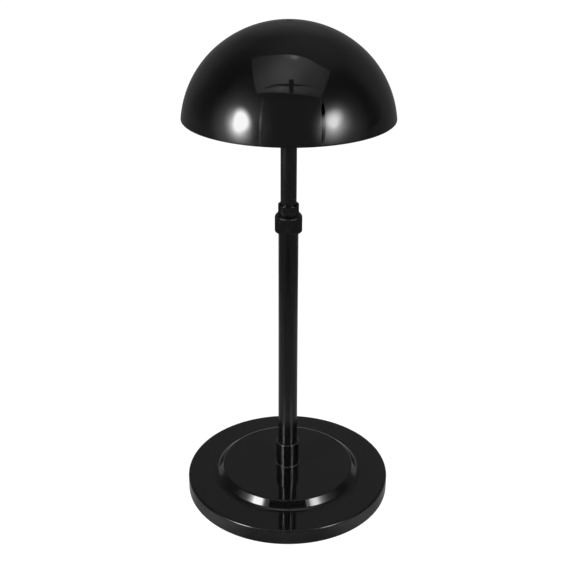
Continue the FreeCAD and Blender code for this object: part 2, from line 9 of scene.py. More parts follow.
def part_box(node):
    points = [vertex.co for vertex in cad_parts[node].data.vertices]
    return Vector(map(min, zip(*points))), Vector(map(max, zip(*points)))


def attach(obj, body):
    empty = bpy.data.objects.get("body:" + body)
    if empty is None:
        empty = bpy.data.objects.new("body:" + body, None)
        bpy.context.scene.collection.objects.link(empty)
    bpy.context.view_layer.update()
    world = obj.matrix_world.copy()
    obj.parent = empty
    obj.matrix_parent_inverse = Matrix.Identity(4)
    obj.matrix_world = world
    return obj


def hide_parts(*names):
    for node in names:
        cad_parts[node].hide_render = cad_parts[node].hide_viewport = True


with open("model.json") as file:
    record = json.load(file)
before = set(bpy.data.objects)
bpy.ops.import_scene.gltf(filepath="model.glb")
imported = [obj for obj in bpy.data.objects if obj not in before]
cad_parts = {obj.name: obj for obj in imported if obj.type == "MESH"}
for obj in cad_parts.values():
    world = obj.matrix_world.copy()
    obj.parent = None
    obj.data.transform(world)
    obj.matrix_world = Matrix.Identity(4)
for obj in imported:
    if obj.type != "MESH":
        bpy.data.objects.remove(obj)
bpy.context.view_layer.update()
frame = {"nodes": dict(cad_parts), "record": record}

# Sizes in metres, heights above the table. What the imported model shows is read
# from it; the rest repeats the sizes the stand is made to.
STEPS_ROUND = 256
ROUND_STEPS = 8
MERGE = 1e-6
CREASE = math.radians(32.0)

BASE_LOW, BASE_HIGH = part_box("base_cover")
BASE_RADIUS = BASE_HIGH.x
BASE_Z = BASE_LOW.z
PLATEAU_Z = BASE_HIGH.z
LAND_Z = BASE_Z + 0.0135
BASE_WALL = 0.0024
STEP_TOP_RADIUS = 0.0562
STEP_FOOT_RADIUS = 0.0623
BOLT_HOLE_RADIUS = 0.00425
BOSS_RADIUS = 0.013
BOSS_Z = 0.0111
BASE_RIBS = 6

DOME_LOW, DOME_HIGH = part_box("dome_shell")
DOME_RADIUS = DOME_HIGH.x
RIM_Z = DOME_LOW.z
DOME_TOP_Z = DOME_HIGH.z
CROWN_RADIUS = 0.084
CROWN_ANGLE = math.radians(40.0)
DOME_WALL = 0.0022
SOCKET_RADIUS = 0.0096
MAST_BORE = 0.00642
SOCKET_FOOT_Z = RIM_Z + 0.036
SOCKET_ROOF_Z = DOME_TOP_Z - 0.00305
DOME_RIBS = 4

COLLET_LOW, COLLET_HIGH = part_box("collet")
COLLET_BODY_HEIGHT = 0.00965
CONE_RISE = 0.0024
SLEEVE_RADIUS = 0.00826
TUBE_SOCKET_RADIUS = 0.00812
SLOT_COUNT = 3
FIRST_SLOT = math.radians(90.0)
SLOT_WIDTH = 0.0012
SLOT_DEPTH = 0.0146

RING_RADIUS = 0.01095
RING_FLUTES = 30

scene = bpy.context.scene
scene.view_settings.view_transform = "Standard"


def set_camera():
    """The photograph's camera, from the fit to the stand's outline."""
    data = bpy.data.cameras.new("camera")
    data.sensor_width = 36.0
    data.lens = 61.61
    data.shift_x = -0.00043
    data.clip_start = 0.05
    data.clip_end = 50.0
    camera = bpy.data.objects.new("camera", data)
    camera.location = (0.0, -0.7285, 0.5281)
    tilt = Matrix.Rotation(math.radians(65.13), 4, "X")
    roll = Matrix.Rotation(math.radians(0.22), 4, "Z")
    camera.rotation_euler = (tilt @ roll).to_euler()
    scene.collection.objects.link(camera)
    scene.camera = camera


class Finish:
    """A node material whose patterns run on Object coordinates, in metres."""

    def __init__(self, name):
        self.material = bpy.data.materials.new(name)
        self.material.use_nodes = True
        self.nodes = self.material.node_tree.nodes
        self.links = self.material.node_tree.links
        self.shader = self.nodes["Principled BSDF"]
        self.place = self.nodes.new("ShaderNodeTexCoord").outputs["Object"]

    def join(self, output, node_input):
        self.links.new(output, node_input)

    def noise(self, grains_per_metre, detail=4.0, roughness=0.6):
        noise = self.nodes.new("ShaderNodeTexNoise")
        noise.inputs["Scale"].default_value = grains_per_metre
        noise.inputs["Detail"].default_value = detail
        noise.inputs["Roughness"].default_value = roughness
        self.join(self.place, noise.inputs["Vector"])
        return noise.outputs["Fac"]

    def specks(self, cells_per_metre, size):
        """Small round specks, one at most in each cell."""
        cells = self.nodes.new("ShaderNodeTexVoronoi")
        cells.inputs["Scale"].default_value = cells_per_metre
        self.join(self.place, cells.inputs["Vector"])
        return self.range(cells.outputs["Distance"], 0.0, size, 1.0, 0.0)

    def range(self, value, low, high, to_low, to_high):
        span = self.nodes.new("ShaderNodeMapRange")
        span.interpolation_type = "SMOOTHSTEP"
        span.inputs["From Min"].default_value = low
        span.inputs["From Max"].default_value = high
        span.inputs["To Min"].default_value = to_low
        span.inputs["To Max"].default_value = to_high
        self.join(value, span.inputs["Value"])
        return span.outputs["Result"]

    def math(self, operation, first, second):
        node = self.nodes.new("ShaderNodeMath")
        node.operation = operation
        for socket, value in zip(node.inputs, (first, second)):
            if isinstance(value, (int, float)):
                socket.default_value = value
            else:
                self.join(value, socket)
        return node.outputs["Value"]

    def lip(self, height):
        """A narrow band round the piece at one height, broken up a little; it carries a painted highlight
        line.
        """
        full, gone = 0.0003, 0.0008
        split = self.nodes.new("ShaderNodeSeparateXYZ")
        self.join(self.place, split.inputs["Vector"])
        away = self.math("ABSOLUTE", self.math("SUBTRACT", split.outputs["Z"], height), 0.0)
        band = self.range(away, full, gone, 1.0, 0.0)
        return self.math("MULTIPLY", band, self.range(self.noise(300.0), 0.3, 0.6, 0.5, 1.0))

    def blend(self, factor, first, second):
        mix = self.nodes.new("ShaderNodeMix")
        mix.data_type = "RGBA"
        self.join(factor, mix.inputs["Factor"])
        for socket, colour in (("A", first), ("B", second)):
            if isinstance(colour, tuple):
                mix.inputs[socket].default_value = (*colour, 1.0)
            else:
                self.join(colour, mix.inputs[socket])
        return mix.outputs["Result"]

    def bump(self, height, depth, under=None):
        bump = self.nodes.new("ShaderNodeBump")
        bump.inputs["Strength"].default_value = 1.0
        bump.inputs["Distance"].default_value = depth
        self.join(height, bump.inputs["Height"])
        if under is not None:
            self.join(under, bump.inputs["Normal"])
        return bump.outputs["Normal"]


# painted highlight: the paler black laid in a band along a lip, standing in for the line of light its
# rounded edge catches
LIP_HIGHLIGHT_PAINT = (0.024, 0.024, 0.025)


def gloss_plastic(name, shade, rough_low, rough_high, ripple, painted_highlight_heights=()):
    """High-gloss black moulding: faint flow ripple, fine dust, hairline rubs, and painted highlights as
    bands of paler black at listed lip heights.
    """
    finish = Finish(name)
    cloud = finish.noise(38.0, detail=3.0)
    dust = finish.specks(900.0, 0.09)
    sparse = finish.range(finish.noise(55.0, detail=2.0), 0.52, 0.72, 0.0, 1.0)
    dust = finish.math("MULTIPLY", dust, sparse)
    tint = tuple(level * 1.5 for level in shade)
    colour = finish.blend(cloud, shade, tint)
    # painted highlight: each listed height gets a band of paler black
    for height in painted_highlight_heights:
        colour = finish.blend(finish.lip(height), colour, LIP_HIGHLIGHT_PAINT)
    finish.join(colour, finish.shader.inputs["Base Color"])
    rough = finish.range(finish.noise(120.0, detail=6.0, roughness=0.7), 0.3, 0.7, rough_low, rough_high)
    rough = finish.math("ADD", rough, finish.math("MULTIPLY", dust, 0.18))
    finish.join(rough, finish.shader.inputs["Roughness"])
    flow = finish.bump(finish.noise(70.0, detail=2.0), ripple)
    grain = finish.bump(finish.noise(2600.0, detail=2.0), ripple * 0.04, under=flow)
    finish.join(grain, finish.shader.inputs["Normal"])
    finish.shader.inputs["IOR"].default_value = 1.5
    return finish.material


def enamelled_tube(name):
    """Black stoved enamel on drawn steel tube, rubbed a little along its length."""
    finish = Finish(name)
    stretch = finish.nodes.new("ShaderNodeMapping")
    stretch.inputs["Scale"].default_value = (1.0, 1.0, 0.04)
    finish.join(finish.place, stretch.inputs["Vector"])
    rubs = finish.nodes.new("ShaderNodeTexNoise")
    rubs.inputs["Scale"].default_value = 1400.0
    rubs.inputs["Detail"].default_value = 3.0
    finish.join(stretch.outputs["Vector"], rubs.inputs["Vector"])
    shade = finish.blend(finish.noise(60.0), (0.0034, 0.0034, 0.0035), (0.0044, 0.0044, 0.0046))
    finish.join(shade, finish.shader.inputs["Base Color"])
    rough = finish.range(rubs.outputs["Fac"], 0.3, 0.75, 0.10, 0.17)
    finish.join(rough, finish.shader.inputs["Roughness"])
    peel = finish.bump(finish.noise(420.0, detail=2.0), 0.00001)
    finish.join(peel, finish.shader.inputs["Normal"])
    finish.shader.inputs["IOR"].default_value = 1.5
    return finish.material


def matt_plastic(name, shade):
    """Plain moulding with a fine spark-eroded grain."""
    finish = Finish(name)
    pale = tuple(level * 1.6 for level in shade)
    finish.join(finish.blend(finish.noise(90.0), shade, pale), finish.shader.inputs["Base Color"])
    grain = finish.noise(1800.0, detail=3.0)
    finish.join(finish.range(grain, 0.3, 0.7, 0.42, 0.58), finish.shader.inputs["Roughness"])
    finish.join(finish.bump(grain, 0.00006), finish.shader.inputs["Normal"])
    return finish.material


def rubber(name):
    finish = Finish(name)
    bloom = finish.range(finish.noise(160.0), 0.45, 0.75, 0.0, 1.0)
    colour = finish.blend(bloom, (0.012, 0.012, 0.012), (0.035, 0.034, 0.032))
    finish.join(colour, finish.shader.inputs["Base Color"])
    grain = finish.noise(1300.0, detail=3.0)
    finish.join(finish.range(grain, 0.3, 0.7, 0.7, 0.86), finish.shader.inputs["Roughness"])
    finish.join(finish.bump(grain, 0.00008), finish.shader.inputs["Normal"])
    return finish.material


def metal(name, shade, worn, rough_low, rough_high, grains):
    finish = Finish(name)
    finish.join(finish.blend(finish.noise(grains * 0.2), shade, worn), finish.shader.inputs["Base Color"])
    grain = finish.noise(grains, detail=5.0)
    finish.join(finish.range(grain, 0.3, 0.7, rough_low, rough_high), finish.shader.inputs["Roughness"])
    finish.join(finish.bump(grain, 0.00002), finish.shader.inputs["Normal"])
    finish.shader.inputs["Metallic"].default_value = 1.0
    return finish.material


FINISHES = {
    "base_black": gloss_plastic("base_black", (0.0034, 0.0034, 0.0035), 0.03, 0.06, 0.000012),
    "dome_black": gloss_plastic("dome_black", (0.0017, 0.0017, 0.0018), 0.03, 0.06, 0.000016),
    "clamp_black": gloss_plastic(
        "clamp_black", (0.0030, 0.0030, 0.0031), 0.05, 0.09, 0.000006,
        # painted highlights on the ferrule: a band at its top lip and one just above its foot
        painted_highlight_heights=(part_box("pole_ferrule")[1].z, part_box("pole_ferrule")[0].z + 0.0003)),
    "tube_black": enamelled_tube("tube_black"),
    "inner_plastic": matt_plastic("inner_plastic", (0.014, 0.014, 0.014)),
    "ballast_iron": metal("ballast_iron", (0.10, 0.10, 0.105), (0.20, 0.19, 0.18), 0.55, 0.75, 500.0),
    "zinc_steel": metal("zinc_steel", (0.55, 0.56, 0.57), (0.68, 0.68, 0.68), 0.22, 0.38, 900.0),
    "insert_brass": metal("insert_brass", (0.62, 0.44, 0.19), (0.76, 0.58, 0.29), 0.18, 0.34, 1100.0),
    "pad_rubber": rubber("pad_rubber"),
}


def section(corners):
    """A half section drawn from corner to corner: radius, height, length of rounding."""
    bm = bmesh.new()
    pen = bm.verts.new((corners[0][0], 0.0, corners[0][1]))
    rounded = []
    for radius, height, rounding in corners[1:]:
        pen = bmesh.ops.extrude_vert_indiv(bm, verts=[pen])["verts"][0]
        pen.co = (radius, 0.0, height)
        if rounding:
            rounded.append((pen, rounding))
    for corner, rounding in rounded:
        bmesh.ops.bevel(
            bm, geom=[corner], offset=rounding, segments=ROUND_STEPS, profile=0.5,
            affect="VERTICES", material=-1)
    return bm


def turn(bm, steps=STEPS_ROUND):
    """Spin the section a full turn about the pole."""
    bmesh.ops.spin(
        bm, geom=bm.verts[:] + bm.edges[:], cent=(0.0, 0.0, 0.0), axis=(0.0, 0.0, 1.0),
        angle=math.tau, steps=steps, use_merge=True)
    bmesh.ops.remove_doubles(bm, verts=bm.verts, dist=MERGE)


def points_of(made):
    """Only the vertices among the things that an operation made."""
    return [item for item in made if isinstance(item, bmesh.types.BMVert)]


def sweep(bm, pen, centre, angle, steps):
    """Draw an arc from a point of the section; the centre is radius and height."""
    made = bmesh.ops.spin(
        bm, geom=[pen], cent=(centre[0], 0.0, centre[1]), axis=(0.0, 1.0, 0.0),
        angle=angle, steps=steps)
    return points_of(made["geom_last"])[0]


def draw_through(bm, pen, *points):
    """Draw straight lines from the pen through points of radius and height."""
    for radius, height in points:
        pen = bmesh.ops.extrude_vert_indiv(bm, verts=[pen])["verts"][0]
        pen.co = (radius, 0.0, height)
    return pen


def make_piece(bm, name, body, nodes, slot):
    """Close the mesh, shade it, hang it on its body, and hide the CAD nodes it takes the place of."""
    bmesh.ops.remove_doubles(bm, verts=bm.verts, dist=MERGE)
    bmesh.ops.recalc_face_normals(bm, faces=bm.faces)
    for face in bm.faces:
        face.smooth = True
    for edge in bm.edges:
        edge.smooth = len(edge.link_faces) == 2 and edge.calc_face_angle() < CREASE
    mesh = bpy.data.meshes.new(name)
    bm.to_mesh(mesh)
    bm.free()
    piece = bpy.data.objects.new(name, mesh)
    scene.collection.objects.link(piece)
    mesh.materials.append(FINISHES[slot])
    weighted = piece.modifiers.new("flat_faces_first", "WEIGHTED_NORMAL")
    weighted.keep_sharp = True
    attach(piece, body)
    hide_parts(*nodes)
    return piece


def add_to(whole, part):
    """Join one bmesh to another."""
    mesh = bpy.data.meshes.new("joining")
    bmesh.ops.recalc_face_normals(part, faces=part.faces)
    part.to_mesh(mesh)
    part.free()
    whole.from_mesh(mesh)
    bpy.data.meshes.remove(mesh)


def web(outline, thickness, angle):
    """A flat rib from its closed outline, turned to its place about the pole."""
    bmesh.ops.remove_doubles(outline, verts=outline.verts, dist=MERGE)
    bmesh.ops.contextual_create(outline, geom=outline.edges[:])
    bmesh.ops.translate(outline, verts=outline.verts, vec=(0.0, -thickness * 0.5, 0.0))
    grown = bmesh.ops.extrude_face_region(outline, geom=outline.faces[:], use_keep_orig=True)["geom"]
    bmesh.ops.translate(outline, verts=points_of(grown), vec=(0.0, thickness, 0.0))
    bmesh.ops.rotate(
        outline, verts=outline.verts, cent=(0.0, 0.0, 0.0),
        matrix=Matrix.Rotation(angle, 3, "Z"))
    return outline


def make_base():
    """Moulded cover with a flat land, a soft step up to the plateau, and its rim wall."""
    wall = BASE_WALL
    half_wall = wall * 0.5
    inside = 0.0008
    edge_round = 0.002
    step_foot_round = 0.00276
    step_top_round = 0.00092
    bm = section([
        (BASE_RADIUS - half_wall, BASE_Z, 0.0),
        (BASE_RADIUS, BASE_Z, 0.0005),
        (BASE_RADIUS, LAND_Z, edge_round),
        (STEP_FOOT_RADIUS, LAND_Z, step_foot_round),
        (STEP_TOP_RADIUS, PLATEAU_Z, step_top_round),
        (BOLT_HOLE_RADIUS, PLATEAU_Z, 0.0),
        (BOLT_HOLE_RADIUS, BOSS_Z, 0.0),
        (BOSS_RADIUS, BOSS_Z, 0.0003),
        (BOSS_RADIUS, PLATEAU_Z - wall, 0.0),
        (STEP_TOP_RADIUS - inside, PLATEAU_Z - wall, 0.0),
        (STEP_FOOT_RADIUS - inside, LAND_Z - wall, 0.0),
        (BASE_RADIUS - wall, LAND_Z - wall, 0.0),
        (BASE_RADIUS - wall, BASE_Z, 0.0004),
        (BASE_RADIUS - half_wall, BASE_Z, 0.0),
    ])
    turn(bm)
    rib_start = 0.0179
    rib_end = BASE_RADIUS - wall - 0.0141
    rib_foot = 0.0083
    rib_thickness = 0.0018
    for rib in range(BASE_RIBS):
        outline = section([
            (BOSS_RADIUS - half_wall, BOSS_Z, 0.0),
            (rib_start, BOSS_Z, 0.0),
            (rib_start, rib_foot, 0.0),
            (rib_end, rib_foot, 0.0),
            (rib_end, LAND_Z - half_wall, 0.0),
            (STEP_FOOT_RADIUS - inside, LAND_Z - half_wall, 0.0),
            (STEP_TOP_RADIUS - inside, PLATEAU_Z - half_wall, 0.0),
            (BOSS_RADIUS - half_wall, PLATEAU_Z - half_wall, 0.0),
            (BOSS_RADIUS - half_wall, BOSS_Z, 0.0),
        ])
        add_to(bm, web(outline, rib_thickness, math.tau * rib / BASE_RIBS))
    make_piece(bm, "base_cover_moulding", "stand", ["base_cover"], "base_black")


def make_plate():
    """Closing plate under the base, with the well that hides the bolt head."""
    low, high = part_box("base_plate")
    thick = 0.002
    well = 0.0135
    foot = low.z
    roof = high.z - thick
    seam = high.x - 0.003
    bm = section([
        (seam, foot, 0.0),
        (high.x, foot, 0.0005),
        (high.x, foot + thick, 0.0003),
        (well + thick, foot + thick, 0.0006),
        (well + thick, high.z, 0.0006),
        (BOLT_HOLE_RADIUS, high.z, 0.0),
        (BOLT_HOLE_RADIUS, roof, 0.0),
        (well, roof, 0.0008),
        (well, foot, 0.0008),
        (seam, foot, 0.0),
    ])
    turn(bm)
    make_piece(bm, "closing_plate", "stand", ["base_plate"], "inner_plastic")


def make_pads():
    """Four round rubber pads with a soft lower edge."""
    low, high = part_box("foot_pads")
    radius = 0.007
    soft_edge = 0.0004
    centre = high.x - radius
    whole = bmesh.new()
    for across in (-centre, centre):
        for along in (-centre, centre):
            disc = bmesh.ops.create_circle(whole, cap_ends=True, segments=48, radius=radius)["verts"]
            bmesh.ops.translate(whole, verts=disc, vec=(across, along, high.z))
    feet = bmesh.ops.extrude_face_region(whole, geom=whole.faces[:], use_keep_orig=True)["geom"]
    bmesh.ops.translate(whole, verts=points_of(feet), vec=(0.0, 0.0, low.z - high.z))
    rim = [edge for edge in whole.edges if all(abs(v.co.z - low.z) < MERGE for v in edge.verts)]
    bmesh.ops.bevel(
        whole, geom=rim, offset=soft_edge, segments=3, profile=0.5, affect="EDGES", material=-1)
    make_piece(whole, "foot_pads_rubber", "stand", ["foot_pads"], "pad_rubber")


def make_bolt():
    """Hexagon bolt up through the well: chamfered head, washer face and shank."""
    low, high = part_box("base_bolt")
    head_height = 0.0053
    half_flats = 0.0065
    face_margin = 0.0007
    chamfer = 0.0006
    soft_edge = 0.00025
    shank_radius = 0.004
    head_top = low.z + head_height
    bm = bmesh.new()
    corner = half_flats / math.cos(math.pi / 6.0)
    bmesh.ops.create_circle(bm, cap_ends=True, segments=6, radius=corner)
    bmesh.ops.rotate(
        bm, verts=bm.verts, cent=(0.0, 0.0, 0.0),
        matrix=Matrix.Rotation(math.radians(30.0), 3, "Z"))
    bmesh.ops.translate(bm, verts=bm.verts, vec=(0.0, 0.0, head_top))
    lower = bmesh.ops.extrude_face_region(bm, geom=bm.faces[:], use_keep_orig=True)["geom"]
    bmesh.ops.translate(bm, verts=points_of(lower), vec=(0.0, 0.0, low.z - head_top))
    under = [face for face in bm.faces if all(abs(v.co.z - low.z) < MERGE for v in face.verts)]
    bmesh.ops.inset_region(bm, faces=under, thickness=face_margin, depth=0.0)
    for vert in bm.verts:
        outer = math.hypot(vert.co.x, vert.co.y) > corner - MERGE * 10.0
        if outer and abs(vert.co.z - low.z) < MERGE:
            vert.co.z += chamfer
    sides = [edge for edge in bm.edges if abs(edge.verts[0].co.z - edge.verts[1].co.z) > 0.002]
    bmesh.ops.bevel(
        bm, geom=sides, offset=soft_edge, segments=2, profile=0.5, affect="EDGES", material=-1)
    shank_foot = head_top - 0.0005
    shank = section([
        (0.0, shank_foot, 0.0),
        (shank_radius, shank_foot, 0.0),
        (shank_radius, high.z, 0.0005),
        (0.0, high.z, 0.0),
        (0.0, shank_foot, 0.0),
    ])
    turn(shank, 64)
    add_to(bm, shank)
    make_piece(bm, "base_bolt_hexagon", "stand", ["base_bolt"], "zinc_steel")


def make_washer():
    """Plain washer between the bolt's head and the closing plate."""
    low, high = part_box("base_washer")
    seam = 0.007
    bm = section([
        (seam, low.z, 0.0),
        (high.x, low.z, 0.00025),
        (high.x, high.z, 0.0001),
        (BOLT_HOLE_RADIUS, high.z, 0.0001),
        (BOLT_HOLE_RADIUS, low.z, 0.00015),
        (seam, low.z, 0.0),
    ])
    turn(bm, 96)
    make_piece(bm, "base_washer_flat", "stand", ["base_washer"], "zinc_steel")


def make_ferrule():
    """Cup at the foot of the pole: rounded lip and a small flared foot."""
    low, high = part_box("pole_ferrule")
    radius = high.x
    bore = TUBE_SOCKET_RADIUS
    floor = low.z + 0.003
    flare = 0.0009
    flare_edge = 0.00035
    seam = 0.006
    bm = section([
        (seam, low.z, 0.0),
        (radius + flare, low.z, 0.0),
        (radius + flare, low.z + flare_edge, 0.0001),
        (radius, low.z + flare_edge, flare * 0.9),
        (radius, high.z, 0.0006),
        (bore, high.z, 0.00015),
        (bore, floor, 0.0),
        (BOLT_HOLE_RADIUS, floor, 0.0),
        (BOLT_HOLE_RADIUS, low.z, 0.0),
        (seam, low.z, 0.0),
    ])
    turn(bm, 128)
    make_piece(bm, "pole_ferrule_cup", "stand", ["pole_ferrule"], "clamp_black")


def make_tube(node, name, body, wall):
    """Drawn tube with its ends taken off a little."""
    low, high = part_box(node)
    middle = high.x - wall * 0.5
    end_round = 0.0002
    bm = section([
        (middle, low.z, 0.0),
        (high.x, low.z, end_round),
        (high.x, high.z, end_round),
        (high.x - wall, high.z, end_round),
        (high.x - wall, low.z, end_round),
        (middle, low.z, 0.0),
    ])
    turn(bm, 128)
    make_piece(bm, name, body, [node], "tube_black")


def make_collet():
    """Chuck on the outer tube: threaded body below, slim sleeve in three fingers above."""
    foot = COLLET_LOW.z
    top = COLLET_HIGH.z
    body_radius = COLLET_HIGH.x
    body_top = foot + COLLET_BODY_HEIGHT
    cone_top = body_top + CONE_RISE
    socket_top = foot + 0.0058
    slot_foot = top - SLOT_DEPTH
    mouth = SLEEVE_RADIUS - 0.0011
    mouth_foot = top - 0.006
    seam = body_radius - 0.0006
    lower = section([
        (seam, foot, 0.0),
        (body_radius, foot, 0.0003),
        (body_radius, slot_foot, 0.0),
        (MAST_BORE, slot_foot, 0.0),
        (MAST_BORE, socket_top, 0.0),
        (TUBE_SOCKET_RADIUS, socket_top, 0.0),
        (TUBE_SOCKET_RADIUS, foot, 0.0),
        (seam, foot, 0.0),
    ])
    turn(lower, 96)
    for finger in range(SLOT_COUNT):
        wall = section([
            (MAST_BORE, slot_foot, 0.0),
            (body_radius, slot_foot, 0.0),
            (body_radius, body_top, 0.0),
            (SLEEVE_RADIUS, cone_top, 0.0),
            (SLEEVE_RADIUS, top, 0.00035),
            (mouth, top, 0.0003),
            (mouth, mouth_foot, 0.0),
            (MAST_BORE, mouth_foot - (mouth - MAST_BORE), 0.0),
            (MAST_BORE, slot_foot, 0.0),
        ])
        bmesh.ops.remove_doubles(wall, verts=wall.verts, dist=MERGE)
        bmesh.ops.contextual_create(wall, geom=wall.edges[:])
        half_slot = SLOT_WIDTH * 0.5 / SLEEVE_RADIUS
        span = math.tau / SLOT_COUNT - 2.0 * half_slot
        start = FIRST_SLOT + half_slot + finger * math.tau / SLOT_COUNT
        bmesh.ops.rotate(
            wall, verts=wall.verts, cent=(0.0, 0.0, 0.0),
            matrix=Matrix.Rotation(start, 3, "Z"))
        bmesh.ops.spin(
            wall, geom=wall.verts[:] + wall.edges[:] + wall.faces[:], cent=(0.0, 0.0, 0.0),
            axis=(0.0, 0.0, 1.0), angle=span, steps=32)
        add_to(lower, wall)
    make_piece(lower, "collet_chuck", "stand", ["collet"], "clamp_black")


def make_ring():
    """Ribbed locking ring: round flutes run up into the rounded shoulder."""
    low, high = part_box("locking_ring")
    foot = low.z
    top = high.z
    shoulder = top - 0.0026
    lip = SLEEVE_RADIUS + 0.0001
    thread = 0.0094
    chamfer = 0.0005
    above_collet = 0.00056
    cone_gap = 0.00015
    cone_foot = foot + above_collet + COLLET_BODY_HEIGHT + cone_gap
    bm = section([
        (thread, foot, 0.0),
        (RING_RADIUS - chamfer, foot, 0.0002),
        (RING_RADIUS, foot + chamfer, 0.0002),
        (RING_RADIUS, shoulder, 0.0008),
        (lip + 0.00044, top, 0.00025),
        (lip, top, 0.00015),
        (lip, cone_foot + CONE_RISE, 0.0),
        (thread, cone_foot, 0.0),
        (thread, foot, 0.0),
    ])
    half_way = foot + 0.006
    bmesh.ops.bisect_plane(
        bm, geom=bm.verts[:] + bm.edges[:], plane_co=(0.0, 0.0, half_way), plane_no=(0.0, 0.0, 1.0))
    turn(bm, RING_FLUTES * 12)
    flute_radius = 0.00125
    flute_depth = 0.00055
    flute_centre = RING_RADIUS + flute_radius - flute_depth
    pitch = math.tau / RING_FLUTES
    for vert in bm.verts:
        reach = math.hypot(vert.co.x, vert.co.y)
        if reach < lip + 0.0003:
            continue
        angle = math.atan2(vert.co.y, vert.co.x)
        angle = (angle + pitch * 0.5) % pitch - pitch * 0.5
        inside = flute_radius ** 2 - (flute_centre * math.sin(angle)) ** 2
        if inside <= 0.0:
            continue
        groove = flute_centre * math.cos(angle) - math.sqrt(inside)
        if groove < reach:
            vert.co.x *= groove / reach
            vert.co.y *= groove / reach
    make_piece(bm, "locking_ring_ribbed", "ring", ["locking_ring"], "clamp_black")


def dome_rib_outline(crown_z):
    """Rib from the mast socket up to the crown; its curved side runs inside the wall."""
    middle = CROWN_RADIUS - DOME_WALL * 0.5
    inside = SOCKET_RADIUS - 0.0016
    reach = 0.044
    start = math.asin(inside / middle)
    end = math.asin(reach / middle)
    start_z = crown_z + middle * math.cos(start)
    bm = bmesh.new()
    pen = bm.verts.new((inside, 0.0, start_z))
    pen = sweep(bm, pen, (0.0, crown_z), end - start, 24)
    draw_through(bm, pen, (inside, SOCKET_FOOT_Z + 0.003), (inside, start_z))
    return bm


def make_dome():
    """Domed head: crown arc into side arc, rounded rim, socket and four ribs inside."""
    crown_z = DOME_TOP_Z - CROWN_RADIUS
    crown = (0.0, crown_z)
    drop = crown_z - RIM_Z
    sine = math.sin(CROWN_ANGLE)
    cosine = math.cos(CROWN_ANGLE)
    step = DOME_RADIUS ** 2 + drop ** 2 - CROWN_RADIUS ** 2
    step = step / (2.0 * (DOME_RADIUS * sine - drop * cosine - CROWN_RADIUS))
    side_radius = CROWN_RADIUS - step
    side_centre = (step * sine, crown_z + step * cosine)
    side_angle = math.pi / 2.0 - CROWN_ANGLE
    rim_angle = math.asin((side_centre[1] - RIM_Z) / side_radius)

    # moulding gate: a shallow dish round a small nib
    gate = 0.0022
    nib = 0.0008
    gate_floor = DOME_TOP_Z - 0.0003
    gate_angle = math.asin(gate / CROWN_RADIUS)
    gate_z = crown_z + CROWN_RADIUS * math.cos(gate_angle)
    nib_z = DOME_TOP_Z - 0.00008
    bm = bmesh.new()
    pen = bm.verts.new((0.0, 0.0, nib_z))
    pen = draw_through(
        bm, pen, (nib - 0.0001, nib_z), (nib, DOME_TOP_Z - 0.00016), (nib, gate_floor),
        (gate - 0.0003, gate_floor), (gate - 0.00006, gate_z - 0.00005), (gate, gate_z))

    # outside down to the rim, and round its edge
    rim_round = 0.0006
    short = rim_round / side_radius
    inner_rim = DOME_RADIUS - DOME_WALL
    inner_side = side_radius - DOME_WALL
    inner_rim_angle = math.asin((side_centre[1] - RIM_Z) / inner_side)
    inner_start = side_centre[0] + inner_side * math.cos(inner_rim_angle)
    pen = sweep(bm, pen, crown, CROWN_ANGLE - gate_angle, 40)
    pen = sweep(bm, pen, side_centre, side_angle + rim_angle - short, 56)
    pen = draw_through(
        bm, pen, (DOME_RADIUS - 0.00008, RIM_Z + 0.00028), (DOME_RADIUS - 0.00028, RIM_Z + 0.00008),
        (DOME_RADIUS - rim_round, RIM_Z), (inner_rim + 0.0004, RIM_Z), (inner_start, RIM_Z))

    # inside up to the crown, and down round the mast's socket
    inner_crown = CROWN_RADIUS - DOME_WALL
    socket_round = 0.0012
    socket_lip = 0.0004
    socket_angle = math.asin((SOCKET_RADIUS + socket_round) / inner_crown)
    pen = sweep(bm, pen, side_centre, -(side_angle + inner_rim_angle), 40)
    pen = sweep(bm, pen, crown, -(CROWN_ANGLE - socket_angle), 28)
    socket_top = pen.co.z - socket_round
    draw_through(
        bm, pen, (SOCKET_RADIUS + 0.0004, socket_top + 0.0008), (SOCKET_RADIUS, socket_top),
        (SOCKET_RADIUS, SOCKET_FOOT_Z + socket_lip), (SOCKET_RADIUS - socket_lip, SOCKET_FOOT_Z),
        (MAST_BORE, SOCKET_FOOT_Z), (MAST_BORE, SOCKET_ROOF_Z), (0.0, SOCKET_ROOF_Z))
    turn(bm)
    for rib in range(DOME_RIBS):
        add_to(bm, web(dome_rib_outline(crown_z), 0.0016, math.tau * rib / DOME_RIBS))
    make_piece(bm, "dome_head", "dome", ["dome_shell"], "dome_black")


def stage_mesh(bm, name, material, glossy_only=True):
    """A lamp, card or floor: part of the studio, not of the stand."""
    mesh = bpy.data.meshes.new(name)
    bm.to_mesh(mesh)
    bm.free()
    mesh.materials.append(material)
    thing = bpy.data.objects.new(name, mesh)
    scene.collection.objects.link(thing)
    thing.visible_camera = False
    thing.visible_shadow = False
    if glossy_only:
        thing.visible_diffuse = False
        thing.visible_transmission = False
    return thing


# a reach beyond everything in the studio
FAR = 1000.0


